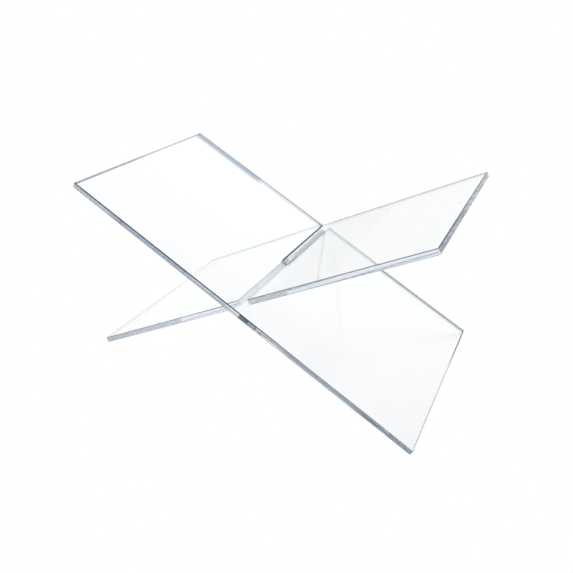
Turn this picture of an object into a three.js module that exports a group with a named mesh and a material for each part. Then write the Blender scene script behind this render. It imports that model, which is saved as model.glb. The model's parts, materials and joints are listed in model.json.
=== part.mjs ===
// A cross-lap magazine rack: two equal clear acrylic sheets, each slotted to half its
// depth, pushed into one another so that they stand on a table as a low, wide X.
// Millimetres, +X along the rack, +Y to the back, +Z up. The origin is on the table,
// under the middle of the rack.

import * as THREE from 'three';

// Driving dimensions of one sheet.
const sheetLength = 381;
const sheetDepth = 203.2;
const sheetThickness = 5.6;
const slotWidth = 2 * sheetThickness;
const cornerRadius = 0.8;

// How the two sheets stand together.
const slopeAngle = THREE.MathUtils.degToRad(28);
const drawnOut = 16;
const fitGap = 0.3;

// Drawing finish of the arcs and the look of the acrylic.
const arcSegments = 3;
const acrylic = { color: 0xe6eff3, roughness: 0.04, metalness: 0, transparent: true, opacity: 0.35 };

// The slot reaches the middle of the sheet, and a hair past it so that the two slot
// ends never press on each other.
const slotDepth = sheetDepth / 2 + fitGap / 2;

// The crossing sits as high as half of a sheet rises, on its lower arris.
const crossingHeight =
  (sheetLength / 2) * Math.sin(slopeAngle) + (sheetThickness / 2) * Math.cos(slopeAngle);

// The outline of one sheet, seen from above: a rectangle with eased corners and an open
// slot in the middle of its back edge.
function sheetOutline() {
  const halfLength = sheetLength / 2;
  const halfDepth = sheetDepth / 2;
  const halfSlot = slotWidth / 2;
  const slotEnd = halfDepth - slotDepth;
  const ease = cornerRadius;
  const quarter = Math.PI / 2;

  const outline = new THREE.Shape();
  outline.moveTo(-halfLength + ease, -halfDepth);
  outline.lineTo(halfLength - ease, -halfDepth);
  outline.absarc(halfLength - ease, -halfDepth + ease, ease, -quarter, 0, false);
  outline.lineTo(halfLength, halfDepth - ease);
  outline.absarc(halfLength - ease, halfDepth - ease, ease, 0, quarter, false);

  // Into the slot on its right wall, across its end, and out on its left wall.
  outline.lineTo(halfSlot + ease, halfDepth);
  outline.absarc(halfSlot + ease, halfDepth - ease, ease, quarter, 2 * quarter, false);
  outline.lineTo(halfSlot, slotEnd);
  outline.lineTo(-halfSlot, slotEnd);
  outline.lineTo(-halfSlot, halfDepth - ease);
  outline.absarc(-halfSlot - ease, halfDepth - ease, ease, 0, quarter, false);

  outline.lineTo(-halfLength + ease, halfDepth);
  outline.absarc(-halfLength + ease, halfDepth - ease, ease, quarter, 2 * quarter, false);
  outline.lineTo(-halfLength, -halfDepth + ease);
  outline.absarc(-halfLength + ease, -halfDepth + ease, ease, 2 * quarter, 3 * quarter, false);
  return outline;
}

// One flat sheet, cut square through its thickness and centred on its middle plane.
function sheetGeometry() {
  const geometry = new THREE.ExtrudeGeometry(sheetOutline(), {
    depth: sheetThickness,
    bevelEnabled: false,
    curveSegments: arcSegments,
  });
  geometry.translate(0, 0, -sheetThickness / 2);
  return geometry;
}

function makeSheet(name) {
  const sheet = new THREE.Mesh(sheetGeometry(), new THREE.MeshStandardMaterial(acrylic));
  sheet.name = name;
  return sheet;
}

// Falls towards +X. Its slot opens to the back, and it stands half the draw to the front.
function backSlotSheet() {
  const sheet = makeSheet('back_slot_sheet');
  sheet.rotation.set(0, slopeAngle, 0);
  sheet.position.set(0, -drawnOut / 2, crossingHeight);
  return sheet;
}

// The same sheet turned end for end, so that its slot opens to the front. It rises
// towards +X and stands half the draw to the back.
function frontSlotSheet() {
  const sheet = makeSheet('front_slot_sheet');
  sheet.rotation.set(0, -slopeAngle, Math.PI);
  sheet.position.set(0, drawnOut / 2, crossingHeight);
  return sheet;
}

const magazineRack = new THREE.Group();
magazineRack.name = 'magazine_rack';
magazineRack.add(backSlotSheet());
magazineRack.add(frontSlotSheet());

export default magazineRack;
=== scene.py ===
# %% [markdown]
# # A clear acrylic magazine rack
# Two equal sheets of clear acrylic, each slotted to half its depth, cross to make a low,
# wide X. This lesson starts from the rack's engineering model, which fixes every size and
# place, and gives each sheet its real surfaces: polished faces, eased arrises and saw-cut
# edges that have been polished by hand.

# %% Load the fixed frame
import json
import math

import bmesh
import bpy
from mathutils import Matrix, Vector


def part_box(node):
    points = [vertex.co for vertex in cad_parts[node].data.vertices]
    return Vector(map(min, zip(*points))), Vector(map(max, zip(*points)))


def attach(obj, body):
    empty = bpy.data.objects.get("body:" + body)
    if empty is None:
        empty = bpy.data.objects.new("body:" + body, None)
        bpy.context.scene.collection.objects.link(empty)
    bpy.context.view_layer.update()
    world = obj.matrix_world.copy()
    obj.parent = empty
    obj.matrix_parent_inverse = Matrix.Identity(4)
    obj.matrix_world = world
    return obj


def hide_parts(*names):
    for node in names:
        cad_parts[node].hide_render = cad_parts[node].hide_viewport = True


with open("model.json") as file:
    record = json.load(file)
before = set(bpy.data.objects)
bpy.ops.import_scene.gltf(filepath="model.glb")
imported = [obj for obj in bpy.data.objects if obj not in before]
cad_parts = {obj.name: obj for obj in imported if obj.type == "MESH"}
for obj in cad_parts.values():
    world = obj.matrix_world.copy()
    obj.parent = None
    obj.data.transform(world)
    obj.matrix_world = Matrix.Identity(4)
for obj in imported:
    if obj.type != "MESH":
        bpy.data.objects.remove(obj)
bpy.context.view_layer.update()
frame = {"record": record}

# %% [markdown]
# ## What the frame says about a sheet
# A sheet leans, so its box in the frame is wider than it is thick. The slope comes from the
# direction that the foot edge faces. With the slope known, the box's width and height give
# back the sheet's own length and thickness. Reading them here, and not typing them again,
# means that the looks can never disagree with the engineering model. The slot is twice as
# wide as a sheet is thick, because the other sheet passes through it at a slant, and it is
# cut a hair past the middle, so that the two slot ends never press on each other.

# %% The sheet's own sizes, worked out from the frame
mounts = {mount["name"]: mount for mount in frame["record"]["mounts"]}
foot_axis = Vector(mounts["right_foot_edge"]["axis"])
slope = math.asin(-foot_axis.z)
low, high = (Vector(corner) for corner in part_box("back_slot_sheet"))
span = high - low
spread = math.cos(slope) ** 2 - math.sin(slope) ** 2
sheet_length = (span.x * math.cos(slope) - span.z * math.sin(slope)) / spread
sheet_thickness = (span.z * math.cos(slope) - span.x * math.sin(slope)) / spread
sheet_depth = span.y
slot_width = 2 * sheet_thickness
slot_gap = 0.0003
print(f"sheet {sheet_length:.4f} x {sheet_depth:.4f} x {sheet_thickness:.4f} m")
print(f"slope {math.degrees(slope):.1f} degrees, slot {slot_width:.4f} m wide")

# %% [markdown]
# ## The sheet's outline
# The real sheet is sawn from stock and its slot is milled in from one edge. Eight corners
# draw that outline, and extruding the flat face by the thickness makes the solid. A box
# with a boolean slot would do as well, but the extrusion keeps the mesh clean for bevels.

# %% Flat outline, extruded
def extrude_outline(bm):
    half_length, half_depth, half_slot = sheet_length / 2, sheet_depth / 2, slot_width / 2
    slot_end = -slot_gap / 2
    corners = [
        (-half_length, -half_depth), (half_length, -half_depth),
        (half_length, half_depth), (half_slot, half_depth),
        (half_slot, slot_end), (-half_slot, slot_end),
        (-half_slot, half_depth), (-half_length, half_depth),
    ]
    verts = [bm.verts.new((x, y, -sheet_thickness / 2)) for x, y in corners]
    face = bm.faces.new(verts)
    made = bmesh.ops.extrude_face_region(bm, geom=[face])
    lifted = [v for v in made["geom"] if isinstance(v, bmesh.types.BMVert)]
    bmesh.ops.translate(bm, verts=lifted, vec=(0, 0, sheet_thickness))
    bmesh.ops.recalc_face_normals(bm, faces=bm.faces)
    print("blank:", len(bm.verts), "corners,", len(bm.faces), "faces")


# %% [markdown]
# ## Eased corners and arrises
# Fresh-cut acrylic is sharp enough to scratch, so every corner is broken and every arris
# scraped. The upright corners get a small radius. Then the two outlines, top and
# bottom, get a scraped one: it draws the thin bright and dark lines along the real sheet's
# edges, and painted shade on it in the material makes the dark ones darker. Both are bevels
# of a few steps, and the corners at the bottom of the slot are left as the cutter leaves them.

# %% Two bevels
corner_ease = 0.0009
corner_steps = 4
arris_ease = 0.00075
arris_steps = 3


def is_upright(edge):
    return abs(edge.verts[0].co.z - edge.verts[1].co.z) > sheet_thickness / 2


def ease_edges(bm):
    upright = [e for e in bm.edges if is_upright(e) and abs(e.verts[0].co.y) > slot_gap]
    bmesh.ops.bevel(
        bm, geom=upright, offset=corner_ease, offset_type="OFFSET", affect="EDGES",
        segments=corner_steps, profile=0.5, material=-1,
    )
    outline = [e for e in bm.edges if not is_upright(e)]
    bmesh.ops.bevel(
        bm, geom=outline, offset=arris_ease, offset_type="OFFSET", affect="EDGES",
        segments=arris_steps, profile=0.5, material=-1,
    )
    print("eased:", len(bm.faces), "faces")


# %% [markdown]
# ## Where the tool went, and where shade is painted
# The cut edges and the polished faces are one block of plastic, so they are one material.
# Three numbers on each face tell the material which is which: cut_edge for every cut wall,
# arris for the scraped edge between wall and face, and a third for the milled slot, which is
# satin and, on the back-slotted sheet, near-black with painted shade. On the raised end the
# arris number is lower, so the arris there is less satin and its painted dark shade weaker.
# The UV map is the sheet's own ruler in metres. On the faces it runs along and across. On
# the cut walls it runs once round the whole rim, like a tape that starts at one corner, and
# through the thickness, so tool marks follow the cut and pass the other three corners
# without a jump. The slot's walls borrow the numbers of the walls that face the same way.

# %% Mark the cut edges and lay the ruler
face_flatness = 0.999
wall_flatness = 0.05
# The raised end's arris weighs less, so its satin roughness and its painted dark shade are both
# weaker there.
raised_end_side = -0.3
raised_end_arris = 0.15


def rim_distance(point, normal):
    along, across = point.x + sheet_length / 2, point.y + sheet_depth / 2
    if abs(normal.x) > abs(normal.y):
        on_right = sheet_length + across
        on_left = 2 * sheet_length + 2 * sheet_depth - across
        return on_right if normal.x > 0 else on_left
    return along if normal.y < 0 else 2 * sheet_length + sheet_depth - along


def lay_ruler(bm):
    cut = bm.faces.layers.float.new("cut_edge")
    arris = bm.faces.layers.float.new("arris")
    milled_and_shaded = bm.faces.layers.float.new("milled_and_shaded")
    ruler = bm.loops.layers.uv.new("ruler")
    for face in bm.faces:
        flatness = abs(face.normal.z)
        is_cut = flatness < face_flatness
        is_arris = is_cut and flatness > wall_flatness
        scraped = raised_end_arris if face.normal.x < raised_end_side else 1.0
        face[cut] = 1.0 if is_cut else 0.0
        face[arris] = scraped if is_arris else 0.0
        middle = face.calc_center_median()
        in_slot = abs(middle.x) < slot_width / 2 + arris_ease and middle.y > slot_gap - arris_ease * 2
        face[milled_and_shaded] = 1.0 if is_cut and in_slot else 0.0
        for loop in face.loops:
            point = loop.vert.co
            loop[ruler].uv = (rim_distance(point, face.normal), point.z) if is_cut else point.xy


# %% [markdown]
# ## Standing the sheets in the X
# Both sheets are the same shape. One leans down to the right with its slot at the back.
# The other is turned end for end, so its slot is at the front, and leans the other way.
# The turn and the lean go into the mesh, so each object stays unturned at the origin.

# %% Build both sheets
def make_sheet(name, body, tilt, turn):
    bm = bmesh.new()
    extrude_outline(bm)
    ease_edges(bm)
    lay_ruler(bm)
    low_corner, high_corner = (Vector(corner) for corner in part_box(name))
    place = (
        Matrix.Translation((low_corner + high_corner) / 2)
        @ Matrix.Rotation(tilt, 4, "Y")
        @ Matrix.Rotation(turn, 4, "Z")
    )
    bmesh.ops.transform(bm, matrix=place, verts=bm.verts)
    mesh = bpy.data.meshes.new(name + "_polished")
    bm.to_mesh(mesh)
    bm.free()
    sheet = bpy.data.objects.new(name + "_polished", mesh)
    bpy.context.scene.collection.objects.link(sheet)
    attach(sheet, body)
    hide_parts(name)
    print(sheet.name, len(mesh.polygons), "faces")
    return sheet


back_slot_sheet = make_sheet("back_slot_sheet", "back_slot_body", slope, 0)
front_slot_sheet = make_sheet("front_slot_sheet", "front_slot_body", -slope, math.pi)

# %% [markdown]
# ## Small helpers for shader nodes
# A material is a graph, and most of its lines only add a node, join two sockets, or give a
# socket its number. The first helpers do just that: put adds a node, feed gives a socket a
# number or a link, blend mixes two colours, ramp eases a value from one number to another,
# and math_step does one sum. Then come one that starts a node group and one that stretches
# a noise, so the recipes below read as recipes.

# %% Helpers for one node
def put(nodes, kind, **settings):
    node = nodes.new("ShaderNode" + kind)
    for name, value in settings.items():
        setattr(node, name, value)
    return node


def feed(links, socket, source):
    if isinstance(source, bpy.types.NodeSocket):
        links.new(source, socket)
    else:
        socket.default_value = source


def blend(nodes, links, amount, first, second):
    mix = put(nodes, "Mix", data_type="RGBA")
    for socket, source in zip((mix.inputs[0], mix.inputs[6], mix.inputs[7]), (amount, first, second)):
        feed(links, socket, source)
    return mix.outputs[2]


def ramp(nodes, links, value, start, end, low=0.0, high=1.0):
    step = put(nodes, "MapRange", interpolation_type="SMOOTHSTEP")
    feed(links, step.inputs["Value"], value)
    for name, number in zip(("From Min", "From Max", "To Min", "To Max"), (start, end, low, high)):
        step.inputs[name].default_value = number
    return step.outputs[0]


def math_step(nodes, links, operation, *sources):
    step = put(nodes, "Math", operation=operation)
    for socket, source in zip(step.inputs, sources):
        feed(links, socket, source)
    return step.outputs[0]


# %% Helpers for a group and for a stretched noise
def start_group(name, inputs, outputs):
    group = bpy.data.node_groups.new(name, "ShaderNodeTree")
    for label, kind in inputs.items():
        group.interface.new_socket(label, in_out="INPUT", socket_type="NodeSocket" + kind)
    for label in outputs:
        group.interface.new_socket(label, in_out="OUTPUT", socket_type="NodeSocketFloat")
    return group, group.nodes.new("NodeGroupInput"), group.nodes.new("NodeGroupOutput")


def stretched_noise(nodes, links, vector, scale, turn=0.0, detail=2.0):
    stretch = put(nodes, "Mapping")
    stretch.inputs["Scale"].default_value = scale
    stretch.inputs["Rotation"].default_value = (0, 0, turn)
    links.new(vector, stretch.inputs["Vector"])
    noise = put(nodes, "TexNoise")
    noise.inputs["Scale"].default_value = 1
    noise.inputs["Detail"].default_value = detail
    links.new(stretch.outputs[0], noise.inputs["Vector"])
    return noise.outputs["Fac"]


# %% [markdown]
# ## What the saw leaves behind, and painted shade
# A saw leaves fine strokes across the thickness, a few millimetres apart and a little
# slanted. Dark bands of painted shade come and go in long waves round the rim. A cosine
# along the ruler makes the waves, and a slow noise shifts them about, so that they don't
# look measured. Two more bands of painted shade lie on the face: a narrow one beside one
# long edge, and a wider one near one end of it, both masked by their distance on the ruler.

# %% Painted shade in waves
# Painted shade: dark bands in waves round the rim of the cut walls, and a slower wave on the arrises.
shade_wander = 0.05
wander_grain = (30, 0, 1)
shade_softness = 0.3


def shade_waves(nodes, links, source):
    axes = put(nodes, "SeparateXYZ")
    links.new(source.outputs["Ruler"], axes.inputs[0])
    uneven = stretched_noise(nodes, links, source.outputs["Ruler"], wander_grain)
    uneven = math_step(nodes, links, "MULTIPLY_ADD", uneven, shade_wander, -shade_wander / 2)
    run = math_step(nodes, links, "ADD", axes.outputs["X"], uneven)
    run = math_step(nodes, links, "SUBTRACT", run, source.outputs["First Shade"])
    turns = math_step(nodes, links, "DIVIDE", run, source.outputs["Wave Length"])
    angle = math_step(nodes, links, "MULTIPLY", turns, 2 * math.pi)
    wave = math_step(nodes, links, "COSINE", angle)
    return ramp(nodes, links, wave, -shade_softness, shade_softness)


print("shade wanders by", shade_wander, "m")

# %% Painted shade bands on the face
# Painted shade: a narrow dark band on the face beside one long edge, and a wider one near one end of
# it.
edge_shade_depth = (0.0048, 0.0036)
end_shade_length = (0.054, 0.044)
end_shade_depth = (0.0095, 0.007)


def face_shade_bands(nodes, links, source):
    offset = put(nodes, "VectorMath", operation="SUBTRACT")
    links.new(source.outputs["Ruler"], offset.inputs[0])
    links.new(source.outputs["First End Shade"], offset.inputs[1])
    away = put(nodes, "VectorMath", operation="ABSOLUTE")
    links.new(offset.outputs[0], away.inputs[0])
    apart = put(nodes, "SeparateXYZ")
    links.new(away.outputs[0], apart.inputs[0])
    beside = ramp(nodes, links, apart.outputs["X"], *end_shade_length)
    inward = ramp(nodes, links, apart.outputs["Y"], *end_shade_depth)
    end_shade = math_step(nodes, links, "MULTIPLY", beside, inward)
    edge_shade = ramp(nodes, links, apart.outputs["Y"], *edge_shade_depth)
    return end_shade, edge_shade


print("rub:", edge_shade_depth[0], "m deep, touch:", end_shade_depth[0], "m deep")

# %% [markdown]
# ## The cut marks and painted shade together
# A noise stretched across the cut makes the strokes, and a much finer one makes the ridges
# that catch the light. Each sheet needs all these marks, and the painted shade of the waves
# and the face bands, with its own places, so they are a node group, and the places are its
# inputs. Grain is in waves per metre, and slant in radians.

# %% Cut marks and painted shade
stroke_grain = (260, 110, 1)
stroke_slant = 0.3
stroke_edges = (0.3, 0.7)
chatter_grain = (1500, 80, 1)
chatter_slant = 0.1


def make_cut_marks_and_shade():
    group, source, result = start_group(
        "cut_marks_and_shade",
        {"Ruler": "Vector", "Wave Length": "Float", "First Shade": "Float", "First End Shade": "Vector"},
        ("Shade", "Streak", "Height", "End Shade", "Edge Shade"),
    )
    nodes, links = group.nodes, group.links
    ruler = source.outputs["Ruler"]
    streak = stretched_noise(nodes, links, ruler, stroke_grain, stroke_slant)
    end_shade, edge_shade = face_shade_bands(nodes, links, source)
    # The wave and the two face bands are painted shade, not marks in the plastic.
    links.new(shade_waves(nodes, links, source), result.inputs["Shade"])
    links.new(ramp(nodes, links, streak, *stroke_edges), result.inputs["Streak"])
    chatter = stretched_noise(nodes, links, ruler, chatter_grain, chatter_slant)
    links.new(chatter, result.inputs["Height"])
    links.new(end_shade, result.inputs["End Shade"])
    links.new(edge_shade, result.inputs["Edge Shade"])
    return group


cut_marks_and_shade = make_cut_marks_and_shade()
print("group:", cut_marks_and_shade.name)

# %% [markdown]
# ## What hands and air leave behind
# A polished acrylic face is never quite bare. It has soft wiping smears, a few specks of
# dust, and the slow waviness that cast sheet keeps from its mould. They are all so faint
# that they only show where a reflection crosses them, so they drive roughness and a bump
# of a few hundredths of a millimetre, and hardly touch the colour. Like the cut marks,
# they are a node group, read by both sheets.

# %% Handling marks
smear_grain = (18, 45, 18)
smear_slant = 0.6
smear_detail = 4.0
smear_edges = (0.52, 0.72)
dust_grain = 110
dust_edges = (0.05, 0.02)
dust_share = 0.2
wave_grain = (11, 8, 11)


def make_handling_marks():
    group, source, result = start_group(
        "handling_marks", {"Place": "Vector"}, ("Smear", "Dust", "Waviness"),
    )
    nodes, links = group.nodes, group.links
    place = source.outputs["Place"]
    smear = stretched_noise(nodes, links, place, smear_grain, smear_slant, smear_detail)
    links.new(ramp(nodes, links, smear, *smear_edges), result.inputs["Smear"])
    specks = put(nodes, "TexVoronoi")
    specks.inputs["Scale"].default_value = dust_grain
    links.new(place, specks.inputs["Vector"])
    dot = ramp(nodes, links, specks.outputs["Distance"], *dust_edges)
    colour = put(nodes, "SeparateColor")
    links.new(specks.outputs["Color"], colour.inputs[0])
    chosen = math_step(nodes, links, "GREATER_THAN", colour.outputs[0], 1 - dust_share)
    links.new(math_step(nodes, links, "MULTIPLY", dot, chosen), result.inputs["Dust"])
    links.new(stretched_noise(nodes, links, place, wave_grain), result.inputs["Waviness"])
    return group


handling_marks = make_handling_marks()
print("group:", handling_marks.name)

# %% [markdown]
# ## What colour each surface is
# The mesh's own flags choose between a polished face, a cut wall, a scraped arris and the
# milled slot, and the marks vary each of them. Part of the colour is painted shade: the dark
# bands on the face beside one long edge, the dark waves round the cut walls and arrises, and
# the near-black slot of the back-slotted sheet. On clear plastic a colour is only a tint: it
# dims the light that comes through.

# %% Tints
def acrylic_colour(nodes, links, flags, marks_and_shade, arris_shade, dust, tints):
    face = blend(nodes, links, dust, tints["face"], tints["dust"])
    # Painted shade: the two dark bands on the face beside one long edge.
    face = blend(nodes, links, marks_and_shade["Edge Shade"], face, tints["edge_shade"])
    face = blend(nodes, links, marks_and_shade["End Shade"], face, tints["end_shade_tint"])
    # Painted shade: the wave darkens the cut wall and its strokes.
    unshaded_cut = blend(nodes, links, marks_and_shade["Streak"], tints["unshaded_cut"], tints["unshaded_stroke"])
    shaded_cut = blend(nodes, links, marks_and_shade["Streak"], tints["shaded_cut"], tints["shaded_stroke"])
    cut = blend(nodes, links, marks_and_shade["Shade"], unshaded_cut, shaded_cut)
    # Painted shade: the slower wave darkens the arris to a thin dark line.
    arris = blend(nodes, links, arris_shade["Shade"], tints["unshaded_arris"], tints["shaded_arris"])
    cut = blend(nodes, links, flags["arris"], cut, arris)
    # Painted shade: on the back-slotted sheet the slot tint is near-black; on the other it is clear.
    cut = blend(nodes, links, flags["milled_and_shaded"], cut, tints["milled_and_shaded"])
    return blend(nodes, links, flags["cut_edge"], face, cut)


print("tints: face, cut wall, arris and slot")

# %% [markdown]
# ## How smooth each surface is
# Roughness goes from 0, a mirror, to 1, chalk. A polished face is nearly 0, even where a
# hand has smeared it. A polished cut wall is a little rougher, its strokes more so, and a
# scraped arris or a milled slot is satin.

# %% Roughness
smear_roughness = 0.012
cut_roughness = 0.015
stroke_roughness = 0.1
milled_roughness = 0.35
arris_roughness = 0.35


def acrylic_roughness(nodes, links, flags, streak, smear):
    smeared = math_step(nodes, links, "MULTIPLY", smear, smear_roughness)
    rubbed = math_step(nodes, links, "MULTIPLY_ADD", streak, stroke_roughness, cut_roughness)
    rubbed = math_step(nodes, links, "MULTIPLY_ADD", flags["milled_and_shaded"], milled_roughness, rubbed)
    rubbed = math_step(nodes, links, "MULTIPLY_ADD", flags["arris"], arris_roughness, rubbed)
    rubbed = math_step(nodes, links, "MULTIPLY", rubbed, flags["cut_edge"])
    return math_step(nodes, links, "ADD", smeared, rubbed)


print("satin slot:", milled_roughness, "polished wall:", cut_roughness)

# %% [markdown]
# ## What relief is left
# The cut walls keep the saw's ridges, a few thousandths of a millimetre high, and the faces
# keep the sheet's slow waves. Both are far too fine for the mesh, so they are a bump. The
# two heights are in metres, and the bump's distance of 1 takes them as they are.

# %% Relief
stroke_height = 0.000006
wave_height = 0.00003


def acrylic_relief(nodes, links, cut_edge, ridges, waviness):
    chatter = math_step(nodes, links, "MULTIPLY", ridges, cut_edge)
    chatter = math_step(nodes, links, "MULTIPLY", chatter, stroke_height)
    height = math_step(nodes, links, "MULTIPLY_ADD", waviness, wave_height, chatter)
    bump = put(nodes, "Bump")
    bump.inputs["Distance"].default_value = 1.0
    links.new(height, bump.inputs["Height"])
    return bump.outputs[0]


print("ridges:", stroke_height, "m, waves:", wave_height, "m")

# %% [markdown]
# ## The clear solid
# Acrylic bends light almost as much as glass, so the Principled shader gets its index of
# 1.49 and full transmission. A faint blue-grey absorption inside the solid does what real
# acrylic does: a face looks clear through six millimetres, and an edge looks blue-grey
# through twenty centimetres. Rays that only ask whether a lamp is visible go straight
# through, so the clear sheets throw no black shadow.

# %% Surface and depth
acrylic_index = 1.49
depth_colour = (0.5, 0.66, 0.8, 1)
depth_density = 1.0


def finish_clear_solid(nodes, links, colour, roughness, normal):
    body = put(nodes, "BsdfPrincipled")
    links.new(colour, body.inputs["Base Color"])
    links.new(roughness, body.inputs["Roughness"])
    links.new(normal, body.inputs["Normal"])
    body.inputs["IOR"].default_value = acrylic_index
    body.inputs["Transmission Weight"].default_value = 1.0
    clear = put(nodes, "BsdfTransparent")
    path = put(nodes, "LightPath")
    mix = put(nodes, "MixShader")
    links.new(path.outputs["Is Shadow Ray"], mix.inputs[0])
    links.new(body.outputs[0], mix.inputs[1])
    links.new(clear.outputs[0], mix.inputs[2])
    depth = put(nodes, "VolumeAbsorption")
    depth.inputs["Color"].default_value = depth_colour
    depth.inputs["Density"].default_value = depth_density
    out = put(nodes, "OutputMaterial")
    links.new(mix.outputs[0], out.inputs["Surface"])
    links.new(depth.outputs[0], out.inputs["Volume"])


print("index:", acrylic_index)

# %% [markdown]
# ## One acrylic for a whole sheet
# Polished faces stay smooth, with two bands of painted shade, cut walls carry the strokes and
# waves of painted shade, arrises are scraped dull and carry a slower wave of painted shade,
# and the milled slot is left satin, near-black with painted shade on the back-slotted sheet.
# It stays one material on each sheet, because a solid of glass with two materials would lose
# track of what it is made of. The group of cut marks and painted shade is placed twice: once
# for the walls, and once, with a slower wave, for the arrises.

# %% Acrylic
def make_acrylic(name, shade_places, arris_wave, tints):
    acrylic = bpy.data.materials.new(name)
    acrylic.use_nodes = True
    nodes, links = acrylic.node_tree.nodes, acrylic.node_tree.links
    nodes.clear()
    ruler = put(nodes, "UVMap", uv_map="ruler")
    flags = {
        flag: put(nodes, "Attribute", attribute_name=flag).outputs["Fac"]
        for flag in ("cut_edge", "arris", "milled_and_shaded")
    }
    marks_and_shade, arris_shade = (put(nodes, "Group", node_tree=cut_marks_and_shade) for _ in range(2))
    for group, values in ((marks_and_shade, shade_places), (arris_shade, arris_wave)):
        links.new(ruler.outputs[0], group.inputs["Ruler"])
        for label, number in values.items():
            group.inputs[label].default_value = number
    hands = put(nodes, "Group", node_tree=handling_marks)
    place = put(nodes, "TexCoord")
    links.new(place.outputs["Object"], hands.inputs["Place"])

    marks_and_shade, arris_shade, hands = marks_and_shade.outputs, arris_shade.outputs, hands.outputs
    colour = acrylic_colour(nodes, links, flags, marks_and_shade, arris_shade, hands["Dust"], tints)
    roughness = acrylic_roughness(nodes, links, flags, marks_and_shade["Streak"], hands["Smear"])
    normal = acrylic_relief(nodes, links, flags["cut_edge"], marks_and_shade["Height"], hands["Waviness"])
    finish_clear_solid(nodes, links, colour, roughness, normal)
    print("material:", name)
    return acrylic


# %% [markdown]
# ## Two sheets, two sets of painted shade
# The sheets were cut from the same stock. Each gets its own wave of painted shade, as the
# wave's length and the place of its first dark stretch in metres along the ruler, a slower
# wave for its arris, the place of the painted shade bands on its face, and its own tints. A
# clear solid shows what lies beyond its walls, and a tint only dims what comes through, so
# the painted waves on the cut walls are nearly clear on one sheet and dark on the other.

# %% The back-slotted sheet's acrylic
back_slot_shade_places = {
    "Wave Length": 0.27,
    "First Shade": 0.12,
    "First End Shade": (-0.145, sheet_depth / 2, 0),
}
back_slot_arris_wave = {"Wave Length": 0.54, "First Shade": 0.12}
# Painted shade in these tints: the dark cut and stroke tints of the wave, the dark arris tint, the
# two dark face bands and the near-black slot. The face, dust and lighter cut, stroke and arris tints
# are the plastic's own.
back_slot_tints = {
    "face": (0.99, 0.993, 0.994, 1), "dust": (0.8, 0.82, 0.84, 1),
    "edge_shade": (0.64, 0.67, 0.7, 1), "end_shade_tint": (0.4, 0.47, 0.55, 1),
    "unshaded_cut": (0.97, 0.98, 1.0, 1), "unshaded_stroke": (0.9, 0.93, 0.97, 1),
    "shaded_cut": (0.42, 0.5, 0.58, 1), "shaded_stroke": (0.3, 0.38, 0.47, 1),
    "unshaded_arris": (0.85, 0.88, 0.92, 1), "shaded_arris": (0.02, 0.03, 0.04, 1),
    "milled_and_shaded": (0.01, 0.04, 0.08, 1),
}
back_slot_acrylic = make_acrylic(
    "acrylic_back_slot", back_slot_shade_places, back_slot_arris_wave, back_slot_tints,
)
back_slot_sheet.data.materials.append(back_slot_acrylic)

# %% The front-slotted sheet's acrylic
front_slot_shade_places = {
    "Wave Length": 0.23,
    "First Shade": 0.57,
    "First End Shade": (0.1, -sheet_depth / 2, 0),
}
front_slot_arris_wave = {"Wave Length": 0.78, "First Shade": 0.12}
# Painted shade in these tints: the dark arris tint and the two darker face bands; here the wave tints
# of the cut wall and the slot tint are close to clear.
front_slot_tints = {
    "face": (0.95, 0.957, 0.96, 1), "dust": (0.8, 0.82, 0.84, 1),
    "edge_shade": (0.5, 0.53, 0.57, 1), "end_shade_tint": (0.6, 0.63, 0.67, 1),
    "unshaded_cut": (0.98, 0.985, 0.99, 1), "unshaded_stroke": (0.92, 0.945, 0.97, 1),
    "shaded_cut": (0.97, 0.98, 1.0, 1), "shaded_stroke": (0.9, 0.93, 0.97, 1),
    "unshaded_arris": (0.85, 0.88, 0.92, 1), "shaded_arris": (0.2, 0.25, 0.3, 1),
    "milled_and_shaded": (0.99, 0.995, 1.0, 1),
}
front_slot_acrylic = make_acrylic(
    "acrylic_front_slot", front_slot_shade_places, front_slot_arris_wave, front_slot_tints,
)
front_slot_sheet.data.materials.append(front_slot_acrylic)

# %% [markdown]
# ## A pale glossy floor
# Clear plastic has hardly any look of its own: it shows the room. So the floor matters as
# much as the sheets. It is coated white card with a glow of its own. The glow is weaker far
# behind the rack, so no line shows where card and room meet in a reflection, and stronger
# in front, so the sheets stay clear when they are looked at from the back. Seen through the
# bent light in an edge it is glossy, and mirrors whatever stands on that side of the room.
# Seen straight on it is plain white, by asking Light Path if the ray comes from the camera.

# %% White card
card_tone = (0.5, 0.5, 0.5, 1)
card_roughness = 0.4
floor_glow = (0.38, 0.6)
glow_reach = (1.5, 0.75)
front_glow = 0.22
front_reach = (-0.1, -0.4)


def make_card():
    card = bpy.data.materials.new("white_gloss_paper")
    card.use_nodes = True
    nodes, links = card.node_tree.nodes, card.node_tree.links
    out = nodes["Material Output"]
    sheen = nodes["Principled BSDF"]
    sheen.inputs["Base Color"].default_value = card_tone
    sheen.inputs["Metallic"].default_value = 1.0
    sheen.inputs["Roughness"].default_value = card_roughness
    sheen.inputs["Emission Color"].default_value = (1, 1, 1, 1)
    place = put(nodes, "TexCoord")
    axes = put(nodes, "SeparateXYZ")
    links.new(place.outputs["Object"], axes.inputs[0])
    glow = ramp(nodes, links, axes.outputs["Y"], *glow_reach, *floor_glow)
    front = ramp(nodes, links, axes.outputs["Y"], *front_reach, 0.0, front_glow)
    glow = math_step(nodes, links, "ADD", glow, front)
    links.new(glow, sheen.inputs["Emission Strength"])
    lit = put(nodes, "Emission")
    path = put(nodes, "LightPath")
    mix = put(nodes, "MixShader")
    links.new(path.outputs["Is Camera Ray"], mix.inputs[0])
    links.new(sheen.outputs[0], mix.inputs[1])
    links.new(lit.outputs[0], mix.inputs[2])
    links.new(mix.outputs[0], out.inputs["Surface"])
    print("card:", card.name)
    return card


# %% [markdown]
# ## Laying the floor
# The floor is one big square, wide enough that its far edge is never seen. It lies half a
# millimetre low, so the feet never share its surface.

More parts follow.
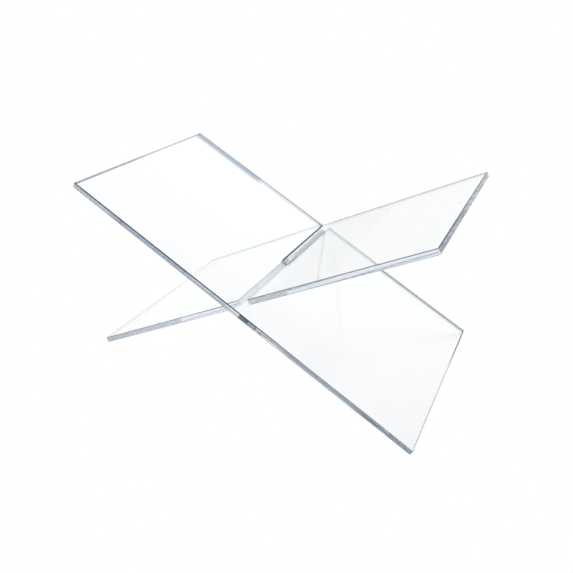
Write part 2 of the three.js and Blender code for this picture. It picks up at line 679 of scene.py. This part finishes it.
# %% Floor
floor_size = 30.0
floor_drop = 0.0005


def make_floor():
    bm = bmesh.new()
    bmesh.ops.create_grid(bm, x_segments=1, y_segments=1, size=floor_size / 2)
    bmesh.ops.translate(bm, verts=bm.verts, vec=(0, 0, -floor_drop))
    mesh = bpy.data.meshes.new("studio_floor")
    bm.to_mesh(mesh)
    bm.free()
    floor = bpy.data.objects.new("studio_floor", mesh)
    bpy.context.scene.collection.objects.link(floor)
    mesh.materials.append(make_card())
    return floor


floor = make_floor()
print("floor:", floor.name, floor_size, "m wide")

# %% [markdown]
# ## Soft studio light
# Every line in the edges is a reflection, so a room that is white all round would make
# the sheets vanish. One broad white panel stands behind and to the left, and leans over
# the rack. The rest of the room is a dim blue-grey, which the edges pick up as their dark
# lines. The panel fades out smoothly to both sides, so it is drawn as two ramps on the
# direction of a ray: how far it turns from the panel, and how steeply it climbs.

# %% Studio light
panel_direction = (-0.3, 0.954, 0)
panel_width = (-0.2, 0.85)
panel_height = (1.0, 0.55)
panel_colour = (0.95, 0.95, 0.95, 1)
room_colour = (0.27, 0.31, 0.36, 1)


def make_world():
    world = bpy.data.worlds.new("studio")
    world.use_nodes = True
    nodes, links = world.node_tree.nodes, world.node_tree.links
    background = nodes["Background"]
    coords = put(nodes, "TexCoord")
    axes = put(nodes, "SeparateXYZ")
    links.new(coords.outputs["Generated"], axes.inputs[0])
    facing = put(nodes, "VectorMath", operation="DOT_PRODUCT")
    facing.inputs[1].default_value = panel_direction
    links.new(coords.outputs["Generated"], facing.inputs[0])
    across = ramp(nodes, links, facing.outputs["Value"], *panel_width)
    upwards = ramp(nodes, links, axes.outputs["Z"], *panel_height)
    panel = math_step(nodes, links, "MULTIPLY", across, upwards)
    colour = blend(nodes, links, panel, room_colour, panel_colour)
    path = put(nodes, "LightPath")
    colour = blend(nodes, links, path.outputs["Is Camera Ray"], colour, (1, 1, 1, 1))
    links.new(colour, background.inputs["Color"])
    background.inputs["Strength"].default_value = 1.0
    return world


bpy.context.scene.world = make_world()
print("world:", bpy.context.scene.world.name)

# %% [markdown]
# ## The camera
# The camera stands in front and to the right, at the height of someone seated, and looks
# down a little. It is placed by its turn round the rack, its rise and its distance, and
# then rolled a degree, as a hand-held camera is. The lens ratio is the focal length over
# the width of the frame. The small shift puts the rack where the frame wants it without
# turning the camera, so its upright lines keep their lean.

# %% Camera
camera_turn = math.radians(24.3)
camera_rise = math.radians(23.9)
camera_roll = math.radians(1.38)
camera_distance = 0.5893
sensor_width = 36
lens_ratio = 1.0609075
window_shift = (-0.0384, -0.0949)
look_at = Vector((0.0238, -0.008, 0.1334))
farthest_view = 100

back = Vector((
    math.sin(camera_turn) * math.cos(camera_rise),
    -math.cos(camera_turn) * math.cos(camera_rise),
    math.sin(camera_rise),
))
level_right = Vector((math.cos(camera_turn), math.sin(camera_turn), 0))
level_up = back.cross(level_right)
right = level_right * math.cos(camera_roll) + level_up * math.sin(camera_roll)
up = level_up * math.cos(camera_roll) - level_right * math.sin(camera_roll)

camera_data = bpy.data.cameras.new("studio_camera")
camera_data.sensor_width = sensor_width
camera_data.lens = sensor_width * lens_ratio
camera_data.shift_x, camera_data.shift_y = window_shift
camera_data.clip_end = farthest_view
camera = bpy.data.objects.new("studio_camera", camera_data)
bpy.context.scene.collection.objects.link(camera)
place = look_at + back * camera_distance
camera.matrix_world = Matrix((
    (right.x, up.x, back.x, place.x),
    (right.y, up.y, back.y, place.y),
    (right.z, up.z, back.z, place.z),
    (0, 0, 0, 1),
))
bpy.context.scene.camera = camera
print(f"camera {place.length:.2f} m from the rack, lens {camera_data.lens:.1f} mm")

# %% [markdown]
# ## Light that bounces inside
# A ray that enters an edge can bounce between the two faces dozens of times before it
# leaves. If it is stopped early it comes back black, so the limits are set high. The
# Standard view keeps white paper white.

# %% Bounces and view
deepest_path = 48
shorter_path = 24
scene = bpy.context.scene
scene.view_settings.view_transform = "Standard"
scene.cycles.max_bounces = deepest_path
scene.cycles.transmission_bounces = deepest_path
scene.cycles.glossy_bounces = shorter_path
scene.cycles.transparent_max_bounces = shorter_path
print("bounces:", scene.cycles.max_bounces)
